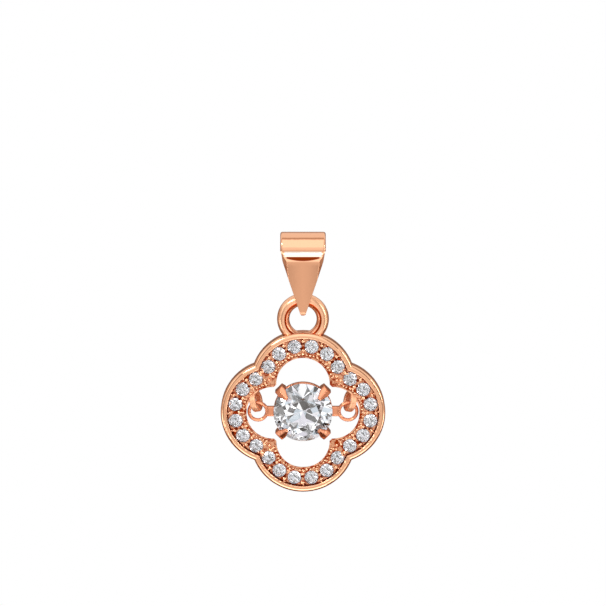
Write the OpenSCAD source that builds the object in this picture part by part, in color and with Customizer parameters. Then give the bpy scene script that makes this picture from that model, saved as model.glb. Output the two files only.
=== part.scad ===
// Four leaf clover pendant: a tapered bail, a stone-set quatrefoil frame with its ring, and a
// centre stone whose claw setting swings between two loops.
// The pendant hangs in the XZ plane with its front towards -Y. The origin is where it
// hangs, at the top of the inside of the bail.

/* [Clover stones] */
// Diameter of each small round stone
stone_d = 1.2; // [1:0.05:1.3]
// Bare metal between neighbouring stones
stone_gap = 0.28; // [0.2:0.02:0.4]
// Angle between neighbouring stones, seen from the middle of their lobe
stone_step = 25.4; // [25:0.1:25.8]
// Half of the angle that each lobe's row takes before it meets the next lobe's row
lobe_half_angle = 78.1; // [77:0.1:79]
// Gap between a stone and its drilled seat
seat_gap = 0.03; // [0.02:0.01:0.05]
// Diameter of the hole that lets light in behind each stone
light_hole_d = 0.55; // [0.4:0.05:0.7]
// Diameter of the round beads raised beside the stones
bead_d = 0.3; // [0.2:0.02:0.34]
// Height of the beads above the channel floor
bead_h = 0.17; // [0.1:0.01:0.2]

/* [Clover frame] */
// Front to back depth of the frame
frame_depth = 1.5; // [1.4:0.05:1.9]
// Width of the polished rim
rim_w = 0.55; // [0.45:0.01:0.7]
// Height of the rim above the channel floor
rim_step = 0.32; // [0.25:0.01:0.4]
// Radius of the rim's rounded outer edge
rim_round = 0.3; // [0.2:0.01:0.34]
// Radius of the rounded edge between the rim and the channel
rim_inner_round = 0.1; // [0.05:0.01:0.12]
// Channel floor between the stones and the rim
channel_margin = 0.07; // [0.06:0.01:0.2]
// Metal between the stones and the inner edge
inner_margin = 0.44; // [0.36:0.01:0.5]
// Width of the thin lip along the inner edge
lip_w = 0.14; // [0.1:0.01:0.18]
// Height of that lip above the channel floor
lip_h = 0.1; // [0.05:0.01:0.15]
// How much wider the openings are at the back than at the front, on each side
opening_flare = 0.36; // [0.2:0.02:0.4]
// Gap between the claws and the blunt points where two lobes meet inside
point_gap = 0.42; // [0.36:0.02:0.5]

/* [Top ring] */
// Thickness of the ring's round wire
ring_wire = 1.07; // [0.9:0.01:1.15]
// Diameter of the ring's hole
ring_hole_d = 2.36; // [2.2:0.02:2.6]
// How far the frame's top edge reaches above the bottom of the ring's hole
ring_sink = 0.09; // [0.05:0.01:0.15]

/* [Bail] */
// Diameter of the hole through the barrel
chain_hole_d = 1.9; // [1.75:0.05:2.1]
// Wall of the round barrel
barrel_wall = 0.4; // [0.35:0.01:0.5]
// Width of the barrel
barrel_w = 3.9; // [3.7:0.05:4.3]
// Rounding of the barrel's ends
barrel_round = 0.2; // [0.1:0.01:0.25]
// Distance from the middle of the barrel down to the middle of the ring's wire
bail_reach = 4.57; // [4.3:0.01:5]
// Step in from the end of the barrel to the edge of the panel
barrel_step = 0.06; // [0.03:0.01:0.1]
// Width of the panel at its shoulder
shoulder_w = 3.5; // [3.2:0.02:3.56]
// Distance from the middle of the barrel down to the shoulder
shoulder_drop = 1; // [0.9:0.01:1.1]
// How far the shoulder stands out in front of the barrel
shoulder_out = 0.15; // [0.1:0.01:0.2]
// Radius of the shoulder's rounded edge
shoulder_r = 0.4; // [0.35:0.01:0.45]
// Radius of the cove between the barrel and the shoulder
cove_r = 0.7; // [0.6:0.01:0.8]
// Distance from the middle of the barrel down to where the cove starts
cove_drop = 0.11; // [0.08:0.01:0.15]
// Width of the bail's inside where it meets the barrel's hole
inside_top_w = 1.2; // [1.1:0.05:1.28]
// Wall of the bail beside the ring's wire
leg_wall = 0.43; // [0.4:0.01:0.55]
// Gap between the ring's wire and the bail on each side, which the swinging ring needs
ring_side_gap = 0.19; // [0.18:0.005:0.22]
// Gap between the ring's wire and the bail's tip below it
ring_under_gap = 0.16; // [0.14:0.01:0.2]
// Metal of the tip under the ring's wire
tip_wall = 0.54; // [0.5:0.01:0.62]
// Radius of the tip's two edges, seen from the side
toe_round = 0.3; // [0.2:0.02:0.36]
// Radius of the tip's rounded end, seen from the front
tip_round = 0.24; // [0.2:0.01:0.26]
// Width of the bevel along the panel's two long edges, at the shoulder
bevel_w = 0.48; // [0.3:0.02:0.54]
// Width of that bevel at the tip
bevel_tip_w = 0.14; // [0.08:0.02:0.2]

/* [Centre stone] */
// Diameter of the centre stone
centre_d = 5.15; // [4.8:0.05:5.3]
// How far the stone's widest part lies in front of the side rings
centre_forward = 0.41; // [0.36:0.01:0.5]
// Gap between the stone and the metal round it
claw_gap = 0.04; // [0.03:0.01:0.06]

/* [Setting] */
// Width of each claw outside the stone
claw_w = 0.84; // [0.7:0.01:0.95]
// Width of each claw's tip
claw_tip_w = 0.42; // [0.34:0.01:0.5]
// Thickness of each claw outside the stone
claw_t = 0.4; // [0.36:0.01:0.46]
// How far each claw reaches in over the stone
claw_reach = 0.68; // [0.5:0.01:0.74]
// Thickness of each claw over the stone
claw_top = 0.34; // [0.3:0.01:0.4]
// Fall of each claw's top from its ridge to its sides
claw_fall = 0.16; // [0.08:0.01:0.2]
// Height of the upper basket ring
basket_ring_h = 0.42; // [0.35:0.01:0.5]
// Wall of both basket rings
basket_ring_w = 0.4; // [0.35:0.01:0.45]
// Outside diameter of the lower basket ring
base_ring_d = 2.9; // [2.7:0.05:3.1]
// Height of the lower basket ring
base_ring_h = 0.4; // [0.35:0.01:0.5]
// How far the basket reaches behind the stone's point
base_cover = 0.08; // [0.05:0.01:0.12]
// Height of the flat side bars
bar_h = 0.85; // [0.7:0.01:0.95]
// Thickness of the flat side bars, front to back
bar_t = 0.4; // [0.34:0.01:0.44]
// How far the bars lie behind the side rings
bar_back = 0.1; // [0.08:0.01:0.12]
// Wire of the side rings
side_wire = 0.3; // [0.28:0.01:0.34]
// Hole of the side rings
side_hole_d = 1.26; // [1.2:0.02:1.34]
// Gap between a side ring and the frame's inner edge
side_gap = 0.06; // [0.05:0.01:0.1]

/* [Side loops] */
// Hole of the flat loops on the frame
loop_hole_d = 1.24; // [1.2:0.02:1.3]
// Wall of the loops
loop_wall = 0.34; // [0.3:0.01:0.36]
// Width of the loops' band
loop_w = 0.56; // [0.5:0.01:0.6]
// Rounding of the loops' edges
loop_edge = 0.12; // [0.08:0.01:0.14]
// Turn of each loop from facing sideways towards facing forward
loop_turn = 18; // [15:1:20]
// Lean of each loop's top towards the frame
loop_lean = 14; // [12:1:16]
// Place of each loop on its lobe, as an angle above the side ring
loop_place = 32; // [30:1:33]
// How far each loop is sunk into the frame's inner wall
loop_sink = 0.13; // [0.1:0.01:0.16]

/* [Hidden] */
$fn = 64;
metal = "#dd9a74";
gem = "#eef1f5";

// The cut of a round brilliant, as shares of its diameter
sides = 8;
table_share = 0.58;
crown_share = 0.15;
girdle_share = 0.03;
pavilion_share = 0.43;
star_share = 0.5;
lower_share = 0.78;

// The row of stones sets the size of each lobe
lobes = 4;
lobe_turn = 360 / lobes;
per_lobe = 6;
stone_count = lobes * per_lobe;
row_r = (stone_d + stone_gap) / 2 / sin(stone_step / 2);
lobe_out = row_r * (sin(lobe_half_angle) - cos(lobe_half_angle));
channel_r = row_r + stone_d / 2 + channel_margin;
lobe_r = channel_r + rim_w;
opening_r = row_r - stone_d / 2 - inner_margin;
clover_reach = lobe_out + lobe_r;
// Distance from the clover's middle to where two neighbouring rows cross
row_cross = lobe_out / sqrt(2) + sqrt(pow(row_r, 2) - pow(lobe_out, 2) / 2);
bead_row = stone_d / 2 - 0.2;

// Heights in the clover, measured forward from the middle of its depth
front_z = frame_depth / 2;
floor_z = front_z - rim_step;
stone_z = floor_z - stone_d * girdle_share / 2 - 0.01;

// The bail, measured down from where it hangs
ring_wire_r = ring_wire / 2;
ring_r = (ring_hole_d + ring_wire) / 2;
hole_r = chain_hole_d / 2;
barrel_r = hole_r + barrel_wall;
barrel_z = -hole_r;
hang_z = barrel_z - bail_reach;
slot_half = ring_wire_r + ring_side_gap;
leg_y = slot_half + leg_wall;
seat_z = hang_z - ring_wire_r - ring_under_gap;
tip_z = seat_z - tip_wall;
shoulder_c = [-(barrel_r + shoulder_out - shoulder_r), barrel_z - shoulder_drop];
cove_start = [-barrel_r * cos(asin(cove_drop / barrel_r)), barrel_z - cove_drop];
cove_c = circles_meet(shoulder_c, shoulder_r + cove_r, cove_start, cove_r);
toe_c = [-(leg_y - toe_round), tip_z + toe_round];

// The clover hangs with its ring in the bail, and the frame's top edge closes the ring's hole
ring_z = hang_z - ring_r;
clover_z = ring_z - ring_hole_d / 2 - clover_reach + ring_sink;

// The side rings hang in the loops on the frame
girdle_r = centre_d / 2;
side_r = (side_hole_d + side_wire) / 2;
side_x = lobe_out + opening_r - side_gap - side_r - side_wire / 2;
loop_slope = loop_lean + loop_place;
loop_reach = loop_edge
    + (loop_hole_d / 2 + loop_wall - loop_edge)
        * norm([sin(loop_turn) * cos(loop_slope), sin(loop_slope)])
    + (loop_w / 2 - loop_edge) * cos(loop_turn) * cos(loop_slope);
loop_c = [lobe_out, 0]
    + (opening_r + opening_flare / 2 + loop_sink - loop_reach) * [cos(loop_place), sin(loop_place)];

function stone_name(i) = str("clover_stone_", i);

// The point at distance ra from a and rb from b, on the side that lies further forward
function circles_meet(a, ra, b, rb) =
    let (
        d = norm(b - a),
        u = (b - a) / d,
        along = (ra * ra - rb * rb + d * d) / (2 * d),
        across = sqrt(ra * ra - along * along)
    ) a + along * u + across * [-abs(u[1]), -abs(u[0])];

// Direction from two circles' common outer tangent to its open side, for side = -1 or 1
function tangent_normal(a, ra, b, rb, side) =
    let (
        d = b - a,
        turn = acos((ra - rb) / norm(d)),
        base = atan2(d[1], d[0])
    ) [cos(base + side * turn), sin(base + side * turn)];

// A point on the stone row's lobe, from its lobe's middle out to radius r at angle a
function on_lobe(lobe, r, a) =
    lobe_out * [cos(lobe), sin(lobe)] + r * [cos(lobe + a), sin(lobe + a)];
function stone_lobe(i) = lobe_turn * floor((i - 1) / per_lobe);
function stone_angle(i) = stone_step * ((i - 1) % per_lobe - (per_lobe - 1) / 2);

// Puts what is drawn flat, with Y up and Z towards the viewer, into the hanging pendant
module facing(z) {
    translate([0, 0, z]) rotate([90, 0, 0]) children();
}

// A round brilliant with its girdle at zero and its table towards +Z
module brilliant(d) {
    r = d / 2;
    half_step = 180 / sides;
    table_r = r * table_share;
    girdle_z = d * girdle_share / 2;
    table_z = girdle_z + d * crown_share;
    culet_z = -girdle_z - d * pavilion_share;
    table_edge_r = table_r * cos(half_step);
    star_r = table_edge_r + (r - table_edge_r) * star_share;
    // The corners beside a kite lie in the plane through its two ends
    star_z = table_z - d * crown_share * (star_r * cos(half_step) - table_r) / (r - table_r);
    lower_r = r * (1 - lower_share);
    lower_z = culet_z + d * pavilion_share * lower_r * cos(half_step) / r;

    function corners(rad, z, n, first) =
        [for (i = [0:n - 1]) [rad * cos(first + i * 360 / n), rad * sin(first + i * 360 / n), z]];
    points = concat(
        corners(table_r, table_z, sides, 0),
        corners(star_r, star_z, sides, half_step),
        corners(r, girdle_z, 2 * sides, 0),
        corners(r, -girdle_z, 2 * sides, 0),
        corners(lower_r, lower_z, sides, half_step),
        [[0, 0, culet_z]]);
    star = sides;
    top = 2 * sides;
    low = 4 * sides;
    keel = 6 * sides;
    culet = 7 * sides;
    faces = concat(
        [[for (i = [sides - 1:-1:0]) i]],
        [for (i = [0:sides - 1])
            let (n = (i + 1) % sides, p = (i + sides - 1) % sides, end = (2 * i + 2) % (2 * sides))
            each [
                [i, n, star + i],
                [i, star + i, top + 2 * i, star + p],
                [star + i, top + 2 * i + 1, top + 2 * i],
                [star + i, top + end, top + 2 * i + 1],
                [keel + i, low + 2 * i, low + 2 * i + 1],
                [keel + i, low + 2 * i + 1, low + end],
                [culet, keel + p, low + 2 * i, keel + i]
            ]],
        [for (i = [0:2 * sides - 1])
            let (n = (i + 1) % (2 * sides)) [top + i, top + n, low + n, low + i]]);
    polyhedron(points, faces);
}

module torus(r, wire) {
    rotate_extrude() translate([r, 0]) circle(wire / 2);
}

// The bail seen from its side: forward is -X and up is Y
module bail_side() {
    heel_c = [-toe_c[0], toe_c[1]];
    front = tangent_normal(shoulder_c, shoulder_r, toe_c, toe_round, -1);
    back = tangent_normal([0, barrel_z], barrel_r, heel_c, toe_round, 1);
    difference() {
        union() {
            difference() {
                union() {
                    polygon([
                        [0, barrel_z],
                        cove_start,
                        shoulder_c + shoulder_r * (cove_c - shoulder_c) / norm(cove_c - shoulder_c),
                        shoulder_c + shoulder_r * front,
                        toe_c + toe_round * front,
                        toe_c,
                        [toe_c[0], tip_z],
                        [heel_c[0], tip_z],
                        heel_c,
                        heel_c + toe_round * back,
                        [0, barrel_z] + barrel_r * back
                    ]);
                    translate(shoulder_c) circle(shoulder_r);
                }
                translate(cove_c) circle(cove_r);
            }
            translate(toe_c) circle(toe_round);
            translate(heel_c) circle(toe_round);
        }
        translate([0, barrel_z]) circle(hole_r);
        polygon([
            [-slot_half, seat_z + slot_half], [slot_half, seat_z + slot_half],
            [inside_top_w / 2, barrel_z], [-inside_top_w / 2, barrel_z]
        ]);
        translate([0, seat_z + slot_half]) circle(slot_half);
    }
}

// The bail's outline seen from the front, as deep as the bail
module bail_front() {
    end = barrel_w / 2;
    shoulder = [shoulder_w / 2, shoulder_c[1]];
    tip_c = [0, tip_z + tip_round];
    side = tangent_normal(shoulder, 0, tip_c, tip_round, 1);
    half = [
        [end, barrel_r], [end, cove_start[1]], [end - barrel_step, cove_start[1]], shoulder,
        tip_c + tip_round * side
    ];
    rotate([90, 0, 0]) {
        linear_extrude(6 * barrel_r, center = true)
            polygon(concat(half, [for (i = [len(half) - 1:-1:0]) [-half[i][0], half[i][1]]]));
        translate(tip_c) cylinder(r = tip_round, h = 6 * barrel_r, center = true);
    }
}

// Cuts one long edge of the panel away at 45 degrees, more at the shoulder than at the tip
module panel_bevel() {
    front = tangent_normal(shoulder_c, shoulder_r, toe_c, toe_round, -1);
    lean = atan2(-front[1], -front[0]);
    tip_c = [0, tip_z + tip_round];
    side = tangent_normal([shoulder_w / 2, shoulder_c[1]], 0, tip_c, tip_round, 1);
    taper = atan2(-side[1], side[0]);
    edge = shoulder_c + shoulder_r * front;
    long = shoulder_c[1] - tip_z;
    narrowing = asin((bevel_w - bevel_tip_w) / 2 / long);
    translate([shoulder_w / 2, edge[0], edge[1]]) rotate([-lean, 0, 0]) rotate([0, taper, 0])
        rotate([0, 0, 45]) rotate([-narrowing, 0, 0])
            translate([0, bevel_w / 2 - barrel_w / 2, -long / 2])
                cube([barrel_w, barrel_w, 1.3 * long], center = true);
}

module barrel() {
    translate([0, 0, barrel_z]) rotate([0, 90, 0]) rotate_extrude() {
        translate([hole_r, -barrel_w / 2 + barrel_round])
            square([barrel_wall, barrel_w - 2 * barrel_round]);
        translate([hole_r, -barrel_w / 2]) square([barrel_wall - barrel_round, barrel_w]);
        for (end = [-1, 1])
            translate([barrel_r - barrel_round, end * (barrel_w / 2 - barrel_round)])
                circle(barrel_round);
    }
}

module bail() {
    color(metal) difference() {
        intersection() {
            union() {
                barrel();
                rotate([90, 0, 90])
                    linear_extrude(barrel_w - 2 * barrel_step, center = true) bail_side();
            }
            bail_front();
        }
        panel_bevel();
        mirror([1, 0, 0]) panel_bevel();
    }
}

// The section of an opening, which is r wide at the front, with Y forward
module opening_side(r) {
    polygon([
        [0, front_z + 1], [r, front_z + 1], [r, floor_z + lip_h],
        [r + opening_flare, -front_z], [r + opening_flare, -front_z - 1], [0, -front_z - 1]
    ]);
}

// The frame's cross-section: X is the distance from the lobe's middle, Y is forward
module band_section() {
    difference() {
        union() {
            translate([opening_r, -front_z + rim_round])
                square([lobe_r - opening_r, frame_depth - 2 * rim_round]);
            translate([opening_r, -front_z])
                square([lobe_r - rim_round - opening_r, frame_depth]);
            for (end = [-1, 1])
                translate([lobe_r - rim_round, end * (front_z - rim_round)]) circle(rim_round);
        }
        translate([opening_r + lip_w, floor_z]) square([channel_r - opening_r - lip_w, rim_step + 1]);
        translate([opening_r - 1, floor_z + lip_h]) square([lip_w + 1.1, rim_step + 1]);
        opening_side(opening_r);
        difference() {
            translate([channel_r - 1, front_z - rim_inner_round])
                square([1 + rim_inner_round, 1]);
            translate([channel_r + rim_inner_round, front_z - rim_inner_round])
                circle(rim_inner_round);
        }
    }
}

// One lobe of the frame, towards +X, cut off where it meets its neighbours
module lobe() {
    near = opening_r / 4;
    far = 2 * clover_reach;
    difference() {
        intersection() {
            translate([lobe_out, 0]) rotate_extrude() band_section();
            linear_extrude(2 * frame_depth, center = true)
                polygon([[near, -near], [far, -far], [far, far], [near, near]]);
        }
        rotate_extrude() opening_side(girdle_r + claw_gap + claw_t + point_gap);
    }
}

// What is drilled out for one stone, with the stone's girdle at zero
module seat() {
    r = stone_d / 2 + seat_gap;
    ledge = -stone_d * girdle_share / 2 - seat_gap;
    light_r = light_hole_d / 2;
    depth = stone_d * pavilion_share * (r - light_r) / r;
    rotate_extrude() polygon([
        [0, 1], [r, 1], [r, ledge], [light_r, ledge - depth],
        [light_r, -2 * frame_depth], [0, -2 * frame_depth]
    ]);
}

module clover_frame() {
    color(metal) facing(clover_z) union() {
        difference() {
            union() {
                for (lobe = [0:lobe_turn:359]) rotate(lobe) lobe();
                for (lobe = [0:lobe_turn:359]) {
                    for (gap = [1:per_lobe - 1], side = [-1, 1])
                        translate(on_lobe(lobe, row_r + side * bead_row,
                            stone_step * (gap - per_lobe / 2))) bead();
                    for (side = [-1, 1]) rotate(lobe + lobe_turn / 2)
                        translate([row_cross + side * (bead_row + 0.1), 0]) bead();
                }
            }
            for (i = [1:stone_count])
                translate(on_lobe(stone_lobe(i), row_r, stone_angle(i)))
                    translate([0, 0, stone_z]) seat();
        }
        top_ring();
        for (side = [0, 1]) mirror([side, 0, 0]) side_loop();
    }
}

module bead() {
    translate([0, 0, floor_z + bead_h - bead_d / 2]) sphere(bead_d / 2);
}

// The ring stops inside the rim, so that it stays out of the channel
module top_ring() {
    difference() {
        translate([0, ring_z - clover_z]) torus(ring_r, ring_wire);
        translate([0, lobe_out, -frame_depth])
            cylinder(r = lobe_r - rim_w / 2, h = 2 * frame_depth);
    }
}

module side_loop() {
    translate(loop_c) rotate([0, 0, -loop_lean]) rotate([0, 90 + loop_turn, 0])
        rotate_extrude() translate([loop_hole_d / 2, 0]) {
            translate([0, loop_edge - loop_w / 2]) square([loop_wall, loop_w - 2 * loop_edge]);
            translate([loop_edge, -loop_w / 2]) square([loop_wall - 2 * loop_edge, loop_w]);
            for (x = [loop_edge, loop_wall - loop_edge], end = [-1, 1])
                translate([x, end * (loop_w / 2 - loop_edge)]) circle(loop_edge);
        }
}

module clover_stone(i) {
    color(gem) facing(clover_z)
        translate(on_lobe(stone_lobe(i), row_r, stone_angle(i)))
            translate([0, 0, stone_z]) rotate(stone_lobe(i) + stone_angle(i)) brilliant(stone_d);
}

module centre_stone() {
    color(gem) facing(clover_z) translate([0, 0, centre_forward]) brilliant(centre_d);
}

// Height of the stone's crown above its girdle plane, at distance r from its axis
function crown_at(r) =
    centre_d * (girdle_share / 2 + crown_share * (girdle_r - r) / (girdle_r * (1 - table_share)));
// Depth of the stone's pavilion behind its girdle plane, at distance r from its axis
function pavilion_at(r) =
    centre_d * (girdle_share / 2 + pavilion_share * (1 - r / girdle_r));

// A claw with its post, from the side: X is the distance from the stone's axis, Y is forward
module claw_side() {
    in = girdle_r + claw_gap;
    out = in + claw_t;
    tip = girdle_r - claw_reach;
    edge = centre_d * girdle_share / 2;
    base = -pavilion_at(0) - base_cover;
    base_r = base_ring_d / 2;
    seat_r = girdle_r - basket_ring_w;
    polygon([
        [tip, crown_at(tip) + claw_gap],
        [in, edge + claw_gap],
        [in, -edge - claw_gap],
        [seat_r, -pavilion_at(seat_r) - claw_gap],
        [base_r - basket_ring_w, base + base_ring_h],
        [base_r - basket_ring_w, base],
        [base_r, base],
        [out, -pavilion_at(seat_r) - basket_ring_h],
        [out, edge + claw_top / 2],
        [out - claw_t / 3, edge + claw_top],
        [tip + claw_top / 2, crown_at(tip) + claw_top],
        [tip, crown_at(tip) + claw_top * 0.7]
    ]);
}

// A claw from the front, narrower towards its rounded tip, with its foot behind the stone
module claw_front() {
    tip_r = claw_tip_w / 2;
    tip = girdle_r - claw_reach + tip_r;
    linear_extrude(4 * centre_d, center = true) polygon([
        [tip, -tip_r], [girdle_r, -claw_w / 2], [2 * girdle_r, -claw_w / 2],
        [2 * girdle_r, claw_w / 2], [girdle_r, claw_w / 2], [tip, tip_r]
    ]);
    translate([tip, 0, 0]) cylinder(r = tip_r, h = 4 * centre_d, center = true);
    translate([0, -tip_r, -2 * centre_d]) cube([girdle_r, claw_tip_w, 2 * centre_d]);
}

// The ridge along the claw's top, with all that lies under its two slopes
module claw_ridge() {
    edge = centre_d * girdle_share / 2;
    tip = girdle_r - claw_reach;
    start = girdle_r + claw_gap + claw_t * 2 / 3;
    rise = atan2(crown_at(tip) - edge, start - tip - claw_top / 2);
    translate([start, 0, edge + claw_top]) rotate([0, rise, 0]) rotate([90, 0, 90])
        linear_extrude(4 * centre_d, center = true) polygon([
            [0, 0], [-claw_w, -2 * claw_fall], [-claw_w, -2 * centre_d],
            [claw_w, -2 * centre_d], [claw_w, -2 * claw_fall]
        ]);
}

module basket_ring(r, top, h) {
    translate([0, 0, top - h]) difference() {
        cylinder(r = r, h = h);
        translate([0, 0, -h]) cylinder(r = r - basket_ring_w, h = 3 * h);
    }
}

module stone_setting() {
    seat_r = girdle_r - basket_ring_w;
    base = -pavilion_at(0) - base_cover;
    color(metal) facing(clover_z) union() {
        translate([0, 0, centre_forward]) {
            basket_ring(girdle_r, -pavilion_at(seat_r) - claw_gap, basket_ring_h);
            basket_ring(base_ring_d / 2, base + base_ring_h, base_ring_h);
            for (turn = [45:90:315]) rotate(turn) intersection() {
                rotate([90, 0, 0]) linear_extrude(2 * claw_w, center = true) claw_side();
                claw_front();
                claw_ridge();
            }
        }
        for (side = [0, 1]) mirror([side, 0, 0]) {
            translate([side_x, 0]) torus(side_r, side_wire);
            difference() {
                translate([girdle_r - basket_ring_w / 2, -bar_h / 2, -bar_t / 2 - bar_back])
                    cube([side_x - girdle_r, bar_h, bar_t]);
                translate([side_x, 0, -bar_t]) cylinder(r = side_r, h = 2 * bar_t);
            }
        }
    }
}

bail();
clover_frame();
stone_setting();
centre_stone();
for (i = [1:stone_count]) clover_stone(i);
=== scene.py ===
import bmesh
import bpy
import math
import random
from mathutils import Matrix, Vector


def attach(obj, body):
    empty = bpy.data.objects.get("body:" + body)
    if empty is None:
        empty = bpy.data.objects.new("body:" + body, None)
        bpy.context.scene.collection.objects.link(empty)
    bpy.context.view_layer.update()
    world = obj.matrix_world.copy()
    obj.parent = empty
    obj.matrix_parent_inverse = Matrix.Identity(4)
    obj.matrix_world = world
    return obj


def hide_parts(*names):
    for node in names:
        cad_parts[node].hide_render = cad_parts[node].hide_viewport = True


# Camera and studio. A long lens looks at the hanging pendant from a little above. The light is a
# white tent with a dark strip overhead and two dark cards beside the lens, which draw the thin
# dark lines in the polished metal. The backdrop is plain white.
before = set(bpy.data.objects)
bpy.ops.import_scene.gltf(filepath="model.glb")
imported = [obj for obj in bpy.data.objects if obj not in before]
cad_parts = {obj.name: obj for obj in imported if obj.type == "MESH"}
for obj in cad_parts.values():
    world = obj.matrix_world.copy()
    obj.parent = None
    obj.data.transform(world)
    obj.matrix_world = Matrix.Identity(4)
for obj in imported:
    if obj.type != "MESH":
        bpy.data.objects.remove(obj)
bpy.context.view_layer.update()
mm = 0.001


def linear(hex_colour):
    """An sRGB hex colour as the linear RGBA that a shader takes."""
    parts = [int(hex_colour[i:i + 2], 16) / 255 for i in (1, 3, 5)]
    return [c / 12.92 if c <= 0.04045 else ((c + 0.055) / 1.055) ** 2.4 for c in parts] + [1]


def add(tree, kind, inputs=None, stops=None, **settings):
    """Adds a node with its settings. An input is a value or another node's output socket, and
    a colour ramp takes its (position, colour) stops, where a single number stands for a grey."""
    node = tree.nodes.new(kind)
    for key, value in settings.items():
        setattr(node, key, value)
    for key, value in (inputs or {}).items():
        if isinstance(value, bpy.types.NodeSocket):
            tree.links.new(value, node.inputs[key])
        else:
            node.inputs[key].default_value = value
    if stops:
        elements = node.color_ramp.elements
        while len(elements) < len(stops):
            elements.new(0.5)
        for element, (position, colour) in zip(elements, stops):
            element.position = position
            element.color = colour if isinstance(colour, list) else [colour] * 3 + [1]
    return node


def look_from(thing, place, target):
    """Puts a camera or a lamp in its place, turned to its target."""
    thing.location = place
    thing.rotation_euler = (Vector(target) - Vector(place)).to_track_quat("-Z", "Y").to_euler()
    bpy.context.scene.collection.objects.link(thing)


elevation = math.radians(12)
view_width, lens, sensor = 52.4 * mm, 120, 36
aim = Vector((0, 0, -5.83 * mm))
distance = view_width * lens / sensor
camera = bpy.data.objects.new("camera", bpy.data.cameras.new("camera"))
camera.data.lens, camera.data.sensor_width = lens, sensor
camera.data.clip_start, camera.data.clip_end = 5 * mm, 20
look_from(camera, aim + distance * Vector((0, -math.cos(elevation), math.sin(elevation))), aim)
scene = bpy.context.scene
scene.camera = camera
scene.view_settings.view_transform = "Standard"
scene.cycles.max_bounces = 18
scene.cycles.transmission_bounces = 16
scene.cycles.glossy_bounces = 6
scene.cycles.sample_clamp_indirect = 8
scene.cycles.use_denoising = True

tent = bpy.data.worlds.new("light_tent")
scene.world = tent
tent.use_nodes = True
tree = tent.node_tree
tree.nodes.clear()
split = add(tree, "ShaderNodeSeparateXYZ", {
    0: add(tree, "ShaderNodeTexCoord").outputs["Generated"]})
sideways, backward, upward = split.outputs
forward = add(tree, "ShaderNodeMath", {0: backward, 1: -1.0}, operation="MULTIPLY").outputs[0]
# The turn about the X axis, from behind and below round through the front, as 0 to 1
turn = add(tree, "ShaderNodeMapRange", {
    "Value": add(tree, "ShaderNodeMath", {0: upward, 1: forward}, operation="ARCTAN2").outputs[0],
    "From Min": -math.pi, "From Max": math.pi}).outputs[0]


def at(degrees):
    """Where an angle lies in the turn."""
    return (degrees + 180) / 360


def warm(level):
    """A grey that turns to copper brown as it gets darker, as the tent's dark cards do."""
    fade = min(level / 0.5, 1)
    return [level, level * fade ** 0.4, level * fade ** 0.7, 1]


# Hoops of light run over the pendant from front to back, and cards stand beside the lens
hoops = add(tree, "ShaderNodeValToRGB", {0: turn}, stops=[
    (at(place), warm(level)) for place, level in (
        (-180, 0.12), (-125, 0.16), (-100, 0.07), (-66, 0.07), (-60, 0.5), (-54, 1.4),
        (-31, 1.4), (-25, 0.4), (-14, 0.41), (-4, 0.52), (8, 0.54), (14, 0.7), (66, 0.7),
        (75, 0.3), (83, 0.3), (91, 0.5), (135, 0.5), (165, 0.2), (180, 0.12))
]).outputs["Color"]
aside = add(tree, "ShaderNodeMath", {0: sideways}, operation="ABSOLUTE").outputs[0]
cards = add(tree, "ShaderNodeValToRGB", {0: aside}, stops=[
    (place, warm(level)) for place, level in (
        (0.0, 1.04), (0.15, 0.98), (0.38, 0.8), (0.46, 0.3), (0.6, 0.22), (0.7, 0.45),
        (0.77, 1.2), (0.86, 1.1), (0.93, 0.5))]).outputs["Color"]
in_front = add(tree, "ShaderNodeValToRGB", {0: forward}, stops=[
    (0.3, 0.0), (0.45, 1.0)]).outputs["Color"]
fronted = add(tree, "ShaderNodeMix", {
    "Factor": in_front, "A": hoops, "B": add(tree, "ShaderNodeMix", {
        "Factor": 1.0, "A": hoops, "B": cards}, data_type="RGBA", blend_type="MULTIPLY"
    ).outputs["Result"]}, data_type="RGBA").outputs["Result"]
carded = add(tree, "ShaderNodeMix", {
    "Factor": add(tree, "ShaderNodeMapRange", {
        "Value": aside, "From Min": 0.88, "From Max": 0.95}).outputs[0],
    "A": fronted, "B": warm(0.3)}, data_type="RGBA").outputs["Result"]
# Through the stones: panes of light and of grey, a few of them tinted
panes = add(tree, "ShaderNodeTexVoronoi", {
    "Vector": add(tree, "ShaderNodeVectorMath", {
        0: add(tree, "ShaderNodeTexCoord").outputs["Generated"], 1: (8.3, 0.0, 0.0)}
    ).outputs[0], "Scale": 4.2})
through = add(tree, "ShaderNodeValToRGB", {
    0: add(tree, "ShaderNodeSeparateXYZ", {0: panes.outputs["Color"]}).outputs[0]}, stops=[
    (0.0, 0.0), (0.14, 0.01), (0.24, 0.04), (0.34, 0.1), (0.42, linear("#9AA6AE")),
    (0.5, 0.22), (0.58, linear("#BBB9C1")), (0.68, 0.46), (0.84, 0.62),
    (1.0, 0.85)]).outputs["Color"]
seen = add(tree, "ShaderNodeLightPath")
lit = add(tree, "ShaderNodeMix", {
    "Factor": seen.outputs["Is Transmission Ray"], "A": carded, "B": through},
    data_type="RGBA").outputs["Result"]
backdrop = add(tree, "ShaderNodeMix", {
    "Factor": seen.outputs["Is Camera Ray"], "A": lit, "B": [0.5, 0.5, 0.5, 1]},
    data_type="RGBA").outputs["Result"]
add(tree, "ShaderNodeOutputWorld", {"Surface": add(
    tree, "ShaderNodeBackground", {"Color": backdrop, "Strength": 2.0}).outputs[0]})


def soft_box(name, place, size, watts):
    """A lamp behind white cloth, placed in mm and turned to the pendant."""
    lamp = bpy.data.lights.new(name, "AREA")
    lamp.shape, lamp.size, lamp.size_y, lamp.energy = "RECTANGLE", *size, watts
    lamp_object = bpy.data.objects.new(name, lamp)
    look_from(lamp_object, [c * mm for c in place], (0, 0, -12 * mm))
    lamp_object.visible_camera = False


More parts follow.
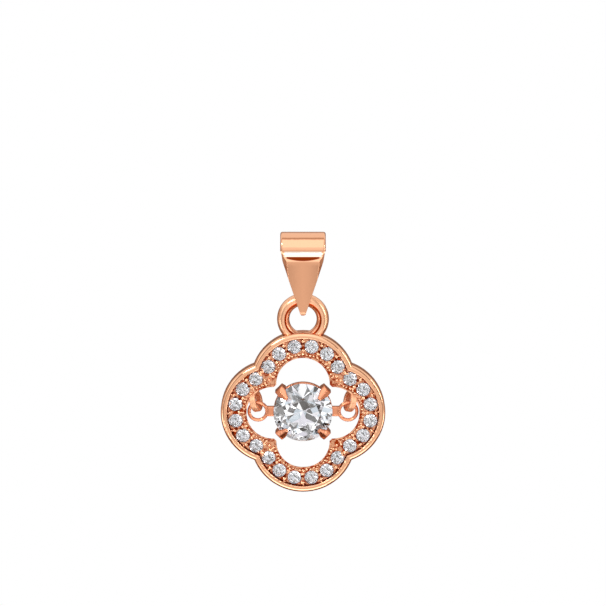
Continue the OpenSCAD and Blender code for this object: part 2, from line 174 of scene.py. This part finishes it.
soft_box("upper_left_box", (-110, -150, 120), size=(50 * mm, 50 * mm), watts=0.1)
soft_box("right_strip", (150, -90, 20), size=(16 * mm, 90 * mm), watts=0.04)

# The floor is a table of white acrylic, lit from within, far enough below the hanging pendant
# that no shadow reaches it. Only the camera sees it, as the tent already lights from below.
table_z, table_reach = -300 * mm, 20
floor_mesh = bmesh.new()
bmesh.ops.create_grid(floor_mesh, x_segments=1, y_segments=1, size=table_reach, matrix=(
    Matrix.Translation((0, 0, table_z))))
floor_data = bpy.data.meshes.new("floor")
floor_mesh.to_mesh(floor_data)
floor_mesh.free()
floor = bpy.data.objects.new("floor", floor_data)
scene.collection.objects.link(floor)
floor.visible_diffuse = floor.visible_glossy = floor.visible_transmission = False
floor.visible_shadow = False
acrylic = bpy.data.materials.new("lit_white_acrylic")
acrylic.use_nodes = True
acrylic.node_tree.nodes.clear()
glow = add(acrylic.node_tree, "ShaderNodeBsdfPrincipled", {
    "Base Color": linear("#000000"), "Roughness": 1.0, "Specular IOR Level": 0.0,
    "Emission Color": linear("#FFFFFF"), "Emission Strength": 1.0})
add(acrylic.node_tree, "ShaderNodeOutputMaterial", {"Surface": glow.outputs[0]})
floor.data.materials.append(acrylic)

# Bail. One casting of brass, tumbled and hand polished, then plated with rose gold: a round
# barrel on top, a cove and a flat tapered front with bevelled edges.


def all_of(tree, masks):
    """1 where every mask is 1, as the masks are multiplied."""
    result = masks[0]
    for mask in masks[1:]:
        result = add(tree, "ShaderNodeMath", {
            0: result, 1: mask}, operation="MULTIPLY").outputs[0]
    return result


def between(tree, value, low, high, soft):
    """1 where a value lies between two limits and 0 outside them, with soft edges."""
    rise = add(tree, "ShaderNodeMapRange", {
        "Value": value, "From Min": low - soft, "From Max": low + soft}).outputs[0]
    fall = add(tree, "ShaderNodeMapRange", {
        "Value": value, "From Min": high - soft, "From Max": high + soft,
        "To Min": 1.0, "To Max": 0.0}).outputs[0]
    return all_of(tree, [rise, fall])


def rose_gold(name, colour, painted_shade_colour, roughness, ripple_mm, ripple, reach_mm, edge_mm=0.05,
              shade=None, painted_highlight=None, rubbed=None, crown=None):
    """Plated and polished brass: a warm metal with the slight unevenness that polishing leaves,
    and edges that the wheel has rounded. Its corners are painted with shade: an occlusion mask
    mixes the colour towards a deeper one where light would bounce twice and more. Ripple is how
    much the polish waves, in waves of ripple_mm, and reach_mm is how far out from a corner the
    painted shade reaches. The last four are functions that add masks to the tree: shade is 1 where
    the metal keeps its colour and 0 where the painted shade is deepest; the highlight mask is 1
    where a hollow is painted towards cream, a painted highlight; rubbed is 1 where wear has
    dulled the polish; and crown gives the height in metres by which a flat is slightly domed, and
    1 where it is."""
    material = bpy.data.materials.new(name)
    material.use_nodes = True
    tree = material.node_tree
    tree.nodes.clear()
    where = add(tree, "ShaderNodeTexCoord").outputs["Object"]
    # Blender's noise has about one bump per unit, so the scale is one over the real size
    waves = add(tree, "ShaderNodeTexNoise", {
        "Vector": where, "Scale": 1 / (ripple_mm * mm), "Detail": 2, "Roughness": 0.5})
    haze = add(tree, "ShaderNodeMapRange", {
        "Value": waves.outputs["Fac"], "From Min": 0.3, "From Max": 0.7,
        "To Min": roughness * 0.8, "To Max": roughness * 1.3}).outputs[0]
    if rubbed:
        haze = add(tree, "ShaderNodeMapRange", {
            "Value": rubbed(tree), "To Min": haze, "To Max": 0.5}).outputs[0]
    edges = add(tree, "ShaderNodeBevel", {"Radius": edge_mm * mm}, samples=4).outputs[0]
    if crown:
        height, share = crown(tree)
        edges = add(tree, "ShaderNodeBump", {
            "Height": height, "Strength": share, "Distance": 1.0, "Normal": edges}).outputs[0]
    bump = add(tree, "ShaderNodeBump", {
        "Height": waves.outputs["Fac"], "Strength": ripple, "Distance": ripple_mm * mm * 0.1,
        "Normal": edges})
    # Painted shade: the occlusion mask mixes the colour towards the deep one in the corners
    free_of_painted_shade = add(tree, "ShaderNodeValToRGB", {
        0: add(tree, "ShaderNodeAmbientOcclusion", {
            "Distance": reach_mm * mm}, samples=6).outputs["AO"]},
        stops=[(0.3, 0.0), (0.8, 1.0)]).outputs["Color"]
    if shade:
        free_of_painted_shade = all_of(tree, [free_of_painted_shade, shade(tree)])
    tone = add(tree, "ShaderNodeMix", {
        "Factor": free_of_painted_shade, "A": linear(painted_shade_colour), "B": linear(colour)},
        data_type="RGBA")
    # Painted highlight: where this mask is 1 the colour is mixed towards cream
    if painted_highlight:
        tone = add(tree, "ShaderNodeMix", {
            "Factor": painted_highlight(tree), "A": tone.outputs["Result"], "B": linear("#FFF6EA")},
            data_type="RGBA")
    surface = add(tree, "ShaderNodeBsdfPrincipled", {
        "Base Color": tone.outputs["Result"], "Metallic": 1.0, "Roughness": haze,
        "Normal": bump.outputs[0]})
    add(tree, "ShaderNodeOutputMaterial", {"Surface": surface.outputs[0]})
    return material


def object_place(tree):
    """Where a point of the surface is, in metres, and which way it faces."""
    place = add(tree, "ShaderNodeTexCoord")
    return (add(tree, "ShaderNodeSeparateXYZ", {0: place.outputs["Object"]}).outputs,
            add(tree, "ShaderNodeSeparateXYZ", {0: place.outputs["Normal"]}).outputs)


def cove_band(tree, high_mm, low_mm, bow_mm, half_mm):
    """A band across the front of the bail between two heights, its lower edge bowed down."""
    (across, depth, height), _ = object_place(tree)
    squared = add(tree, "ShaderNodeMath", {0: across, 1: 2.0}, operation="POWER").outputs[0]
    above_bow = add(tree, "ShaderNodeMath", {
        0: squared, 1: -bow_mm / mm, 2: height}, operation="MULTIPLY_ADD").outputs[0]
    return all_of(tree, [
        between(tree, height, -2.5 * mm, high_mm * mm, 0.02 * mm),
        between(tree, above_bow, low_mm * mm, 0, 0.03 * mm),
        between(tree, across, -half_mm * mm, half_mm * mm, 0.06 * mm),
        between(tree, depth, -1.8 * mm, -0.9 * mm, 0.02 * mm)])


def painted_barrel_reflection(tree):
    """Painted reflection: the shoulder's upper side looks up at the barrel, and is painted in the
    deep colour to stand for the barrel's dark red reflection.
    """
    return add(tree, "ShaderNodeMath", {
        0: 1.0, 1: cove_band(tree, high_mm=-1.53, low_mm=-1.86, bow_mm=0.1, half_mm=1.42)},
        operation="SUBTRACT").outputs[0]


def painted_cove_highlight(tree):
    """Painted highlight: the cove above it faces down on to the white of the tent, and is painted
    towards cream to stand for the light it gathers.
    """
    return cove_band(tree, high_mm=-1.06, low_mm=-1.5, bow_mm=0.0, half_mm=1.6)


def crowned_panel(tree):
    """The flat front is domed by about a tenth of a millimetre from the polishing wheel."""
    fall_per_square_metre, panel_top, below_the_tip = -75.0, -2.15 * mm, -9 * mm
    (across, _, height), _ = object_place(tree)
    squared = add(tree, "ShaderNodeMath", {0: across, 1: 2.0}, operation="POWER").outputs[0]
    dome = add(tree, "ShaderNodeMath", {
        0: squared, 1: fall_per_square_metre}, operation="MULTIPLY").outputs[0]
    return dome, between(tree, height, below_the_tip, panel_top, 0.15 * mm)


def rubbed_toe(tree):
    """The tip is closed round the ring with pliers and rubbed by it, so it is less bright."""
    toe_low, toe_top = -7.2 * mm, -6.44 * mm
    (_, _, height), _ = object_place(tree)
    return between(tree, height, toe_low, toe_top, 0.06 * mm)


def finish_node(name, material):
    """Gives one of the CAD's solids its finish."""
    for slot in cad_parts[name].material_slots:
        slot.material = material


finish_node("bail", rose_gold(
    "polished_rose_gold_bail", "#F5B993", "#7A2A06", roughness=0.08, ripple_mm=0.9, ripple=0.15,
    reach_mm=0.2, shade=painted_barrel_reflection, painted_highlight=painted_cove_highlight, rubbed=rubbed_toe,
    crown=crowned_panel))

# Clover frame. One casting in four lobes: a polished rim round a sunk channel, with the ring on
# top and the two loops inside soldered to it. The sizes, in mm, are the middles of the ring and
# of the loops, the ring's foot, and the two edges of the painted dark line round its hole, a
# painted reflection.
ring_z, ring_foot, loop_x, loop_z = -7.235, -8.45, 4.11, -14.567
painted_line_in, painted_line_out = 1.43, 1.61


def away_from(tree, x_mm, z_mm):
    """The distance in the clover's plane from a point, the same on its left and its right."""
    (across, _, height), _ = object_place(tree)
    either_side = add(tree, "ShaderNodeMath", {0: across}, operation="ABSOLUTE").outputs[0]
    flat = add(tree, "ShaderNodeCombineXYZ", {0: either_side, 2: height}).outputs[0]
    return add(tree, "ShaderNodeVectorMath", {
        0: flat, 1: (x_mm * mm, 0, z_mm * mm)}, operation="DISTANCE").outputs["Value"]


def on_ring(tree):
    """1 on the ring, above its foot, and 0 on the clover."""
    (_, _, height), _ = object_place(tree)
    return between(tree, height, ring_foot * mm, -4 * mm, 0.02 * mm)


def frame_painted_shade(tree):
    """Painted shade and a painted reflection. The channel's floor is painted darker as shade,
    broken into patches by noise that stands for the graver's marks. The ring is painted with a
    fine dark line round its hole, a painted reflection, and a little deeper in colour inside it."""
    (_, depth, height), (_, facing, _) = object_place(tree)
    # Painted shade on the channel's floor, in patches of noise
    channel_floor = all_of(tree, [
        between(tree, depth, -0.56 * mm, -0.36 * mm, 0.02 * mm),
        between(tree, facing, -1.2, -0.9, 0.05),
        between(tree, height, -30 * mm, -8.5 * mm, 0.02 * mm),
        between(tree, away_from(tree, loop_x, loop_z), 0.95 * mm, 1.0, 0.02 * mm)])
    scratches = add(tree, "ShaderNodeTexNoise", {
        "Vector": add(tree, "ShaderNodeTexCoord").outputs["Object"], "Scale": 1 / (0.3 * mm),
        "Detail": 2}).outputs["Fac"]
    floor_shade_and_marks = add(tree, "ShaderNodeMapRange", {
        "Value": scratches, "From Min": 0.4, "From Max": 0.56, "To Min": 0.0, "To Max": 0.9})
    tone = add(tree, "ShaderNodeMapRange", {
        "Value": channel_floor, "To Min": 1.0, "To Max": floor_shade_and_marks.outputs[0]}).outputs[0]
    # Painted reflection: a dark line round the ring's hole, and a slightly deeper colour inside it
    from_ring = away_from(tree, 0, ring_z)
    for low, high, soft, kept in (
            (-1.0, painted_line_in * mm, 0.03 * mm, 0.8), (painted_line_in * mm, painted_line_out * mm, 0.02 * mm, 0.0)):
        band = all_of(tree, [on_ring(tree), between(tree, from_ring, low, high, soft)])
        tone = all_of(tree, [tone, add(tree, "ShaderNodeMapRange", {
            "Value": band, "To Min": 1.0, "To Max": kept}).outputs[0]])
    return tone


def frame_rubbed(tree):
    """The ring and the loops rub on the wires that hang in them, and lose the last polish."""
    ring = add(tree, "ShaderNodeMath", {
        0: on_ring(tree), 1: 0.5}, operation="MULTIPLY").outputs[0]
    loops = between(tree, away_from(tree, loop_x, loop_z), -1.0, 1.05 * mm, 0.03 * mm)
    return add(tree, "ShaderNodeMath", {0: ring, 1: loops}, operation="MAXIMUM").outputs[0]


finish_node("clover_frame", rose_gold(
    "polished_rose_gold_frame", "#FAC19A", "#A83A0C", roughness=0.07, ripple_mm=0.9, ripple=0.15,
    reach_mm=0.35, shade=frame_painted_shade, rubbed=frame_rubbed))

# Grains. The setter raises small grains of metal from the channel floor with a graver, in pairs
# between the stones and in a row beside them, and burnishes them over the stones' edges.
# Lengths are in mm and angles in degrees, round the middle of a lobe.
clover_z, floor_y, lobe_out = -15.5106, -0.43, 2.5996
row_r, stone_step, lobe_half_angle = 3.366, 25.4, 78.1
inner_r, inner_step = 2.6, 7.0


def on_clover(lobe, radius, angle, forward_of_floor=0):
    """A point in mm at a radius and an angle round the middle of one of the four lobes."""
    first, second = math.radians(90 * lobe), math.radians(90 * lobe + angle)
    return Vector((
        lobe_out * math.cos(first) + radius * math.cos(second), floor_y - forward_of_floor,
        clover_z + lobe_out * math.sin(first) + radius * math.sin(second)))


def rounded_bits(name, bits):
    """One mesh of many small rounded bits, each given by its place and three radii in mm."""
    mesh = bmesh.new()
    for place, radii in bits:
        bmesh.ops.create_icosphere(mesh, subdivisions=2, radius=mm, matrix=(
            Matrix.Translation(place * mm) @ Matrix.Diagonal((*radii, 1))))
    for face in mesh.faces:
        face.smooth = True
    data = bpy.data.meshes.new(name)
    mesh.to_mesh(data)
    mesh.free()
    piece = bpy.data.objects.new(name, data)
    scene.collection.objects.link(piece)
    return piece


chance = random.Random(7)
grains = []
for lobe in range(4):
    for gap in range(-3, 4):
        middle = stone_step * gap
        if abs(gap) == 3:
            middle = math.copysign(lobe_half_angle - 2, gap)
        for side in (-1, 1):
            for offset in (0.4, 0.62):
                size = chance.uniform(0.12, 0.17) if offset < 0.5 else chance.uniform(0.09, 0.13)
                place = on_clover(lobe, row_r + side * offset + chance.uniform(-0.03, 0.03),
                                  middle + chance.uniform(-1.5, 1.5), 0.04)
                grains.append((place, (size, size * 0.9, size)))
    for count in range(-11, 12):
        angle = count * inner_step + chance.uniform(-1.2, 1.2)
        size = chance.uniform(0.08, 0.13)
        grains.append((on_clover(lobe, inner_r + chance.uniform(-0.04, 0.04), angle, 0.03),
                       (size * 1.2, size, size)))
grains = rounded_bits("channel_grains", grains)
# The grains get a lighter colour than the frame's, a painted highlight for their cream glints
grains.data.materials.append(rose_gold(
    "rose_gold_grains_painted_lighter", "#FFCFA6", "#A8400F", roughness=0.1, ripple_mm=0.3, ripple=0.2,
    reach_mm=0.15))
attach(grains, "clover")

# Graver cuts. Short dark lenses on the floor beside the grains where the metal was lifted, a
# painted shade that stands for the shadow in the pits.
painted_cut_shade = []
for lobe in range(4):
    for gap in range(-2, 3):
        for radius in (row_r - 0.2, row_r + 0.22, row_r + 0.6):
            if chance.random() < 0.85:
                place = on_clover(lobe, radius, stone_step * gap + chance.uniform(-3, 3), 0.02)
                painted_cut_shade.append((place, (
                    chance.uniform(0.1, 0.19), 0.07, chance.uniform(0.08, 0.16))))
painted_cut_shade = rounded_bits("graver_cuts_painted_shade", painted_cut_shade)

# A thin dark line in the fine corner between the channel's floor and the rim is a painted shadow
corner = bpy.data.curves.new("rim_corner_shadow_line", "CURVE")
corner.dimensions, corner.bevel_depth, corner.bevel_resolution = "3D", 0.05 * mm, 2
channel_r, channel_half_angle = 4.036, 72.1
for lobe in range(4):
    arc = corner.splines.new("POLY")
    arc.points.add(48)
    for count, point in enumerate(arc.points):
        angle = channel_half_angle * (count / 24 - 1)
        point.co = (*(on_clover(lobe, channel_r - 0.03, angle, 0.02) * mm), 1)
corner = bpy.data.objects.new("rim_corner_shadow_line", corner)
scene.collection.objects.link(corner)
# Painted shade: the pits and the corner line are coloured dark brown
painted_shade_gold = rose_gold(
    "painted_shade_rose_gold", "#6A2008", "#2A0A02", roughness=0.35, ripple_mm=0.2, ripple=0.2,
    reach_mm=0.15)
for piece in (painted_cut_shade, corner):
    piece.data.materials.append(painted_shade_gold)
    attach(piece, "clover")

# Clover stones. Small round brilliants of clear cubic zirconia in drilled seats, held by the
# grains that are pushed over their edges.


def clear_stone(name, clarity, shine):
    """Cut cubic zirconia: colourless, and bright because it bends light more than glass. What
    clarity leaves out is the white glitter of facets that are finer than the render shows."""
    material = bpy.data.materials.new(name)
    material.use_nodes = True
    tree = material.node_tree
    tree.nodes.clear()
    surface = add(tree, "ShaderNodeBsdfPrincipled", {
        "Base Color": linear("#FDFDFF"), "Roughness": 0.0, "IOR": 2.16,
        "Specular IOR Level": shine, "Transmission Weight": clarity})
    add(tree, "ShaderNodeOutputMaterial", {"Surface": surface.outputs[0]})
    return material


for name in ("clover_frame", "stone_setting"):
    # What leaves a stone's back isn't lost in its seat, as polished seats and foil return it
    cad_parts[name].visible_transmission = False
small_zirconia = clear_stone("small_cut_cubic_zirconia", clarity=0.97, shine=1.0)
for number in range(1, 25):
    finish_node(f"clover_stone_{number}", small_zirconia)

# Setting. Four claws soldered to two basket rings, with a flat bar and a small ring each side.
# The claws' edges are rounded over by the polishing wheel.
finish_node("stone_setting", rose_gold(
    "polished_rose_gold_setting", "#F4A680", "#A82A06", roughness=0.1, ripple_mm=0.9,
    ripple=0.15, reach_mm=0.3, edge_mm=0.2))

# Centre stone. One round brilliant of 57 facets with a round girdle, held by the claws. It is cut
# from a cylinder one plane at a time, as a cutter grinds it.
stone_r, stone_z, stone_y = 2.575, clover_z, -0.41
table_share, crown, girdle, pavilion = 0.58, 0.7725, 0.07725, 2.2145
star_tilt, upper_steeper, lower_steeper = 22, 4.5, 1.2


def cut_stone(name):
    """The stone in mm with its table up, then set upright in metres with its table forward."""
    mesh = bmesh.new()
    bmesh.ops.create_cone(mesh, cap_ends=True, segments=96, radius1=stone_r, radius2=stone_r,
                          depth=2 * pavilion + 2 * girdle)

    def grind(azimuth, tilt, through):
        """Cuts off what lies outside a plane; tilt 0 faces forward and 180 faces back."""
        a, t = math.radians(azimuth), math.radians(tilt)
        normal = Vector((math.sin(t) * math.cos(a), math.sin(t) * math.sin(a), math.cos(t)))
        found = bmesh.ops.bisect_plane(
            mesh, geom=mesh.verts[:] + mesh.edges[:] + mesh.faces[:], dist=1e-5,
            plane_co=through, plane_no=normal, clear_outer=True)
        edges = [e for e in found["geom_cut"] if isinstance(e, bmesh.types.BMEdge)]
        if edges:
            bmesh.ops.contextual_create(mesh, geom=edges)

    def rim(azimuth, radius, height):
        """A point round the stone's axis."""
        a = math.radians(azimuth)
        return Vector((radius * math.cos(a), radius * math.sin(a), height))

    top, table_r = girdle / 2, stone_r * table_share
    main = math.degrees(math.atan(crown / (stone_r - table_r)))
    keel = math.degrees(math.atan(pavilion / stone_r))
    grind(0, 0, Vector((0, 0, top + crown)))
    for step in range(8):
        grind(45 * step, main, rim(45 * step, stone_r, top))
        grind(45 * step, 180 - keel, rim(45 * step, stone_r, -top))
    for step in range(8):
        grind(45 * step + 22.5, star_tilt, rim(
            45 * step + 22.5, table_r * math.cos(math.radians(22.5)), top + crown))
        for side in (-1, 1):
            azimuth = 45 * step + side * 11.25
            grind(azimuth, main + upper_steeper, rim(azimuth, stone_r, top))
            grind(azimuth, 180 - keel - lower_steeper, rim(azimuth, stone_r, -top))
    mesh.transform(Matrix.Scale(mm, 4) @ Matrix.Translation((0, stone_y, stone_z))
                   @ Matrix.Rotation(math.radians(90), 4, "X"))
    data = bpy.data.meshes.new(name)
    mesh.to_mesh(data)
    mesh.free()
    piece = bpy.data.objects.new(name, data)
    scene.collection.objects.link(piece)
    return piece


brilliant = cut_stone("round_brilliant")
brilliant.data.materials.append(clear_stone("cut_cubic_zirconia", clarity=1.0, shine=0.3))
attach(brilliant, "setting")
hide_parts("centre_stone")
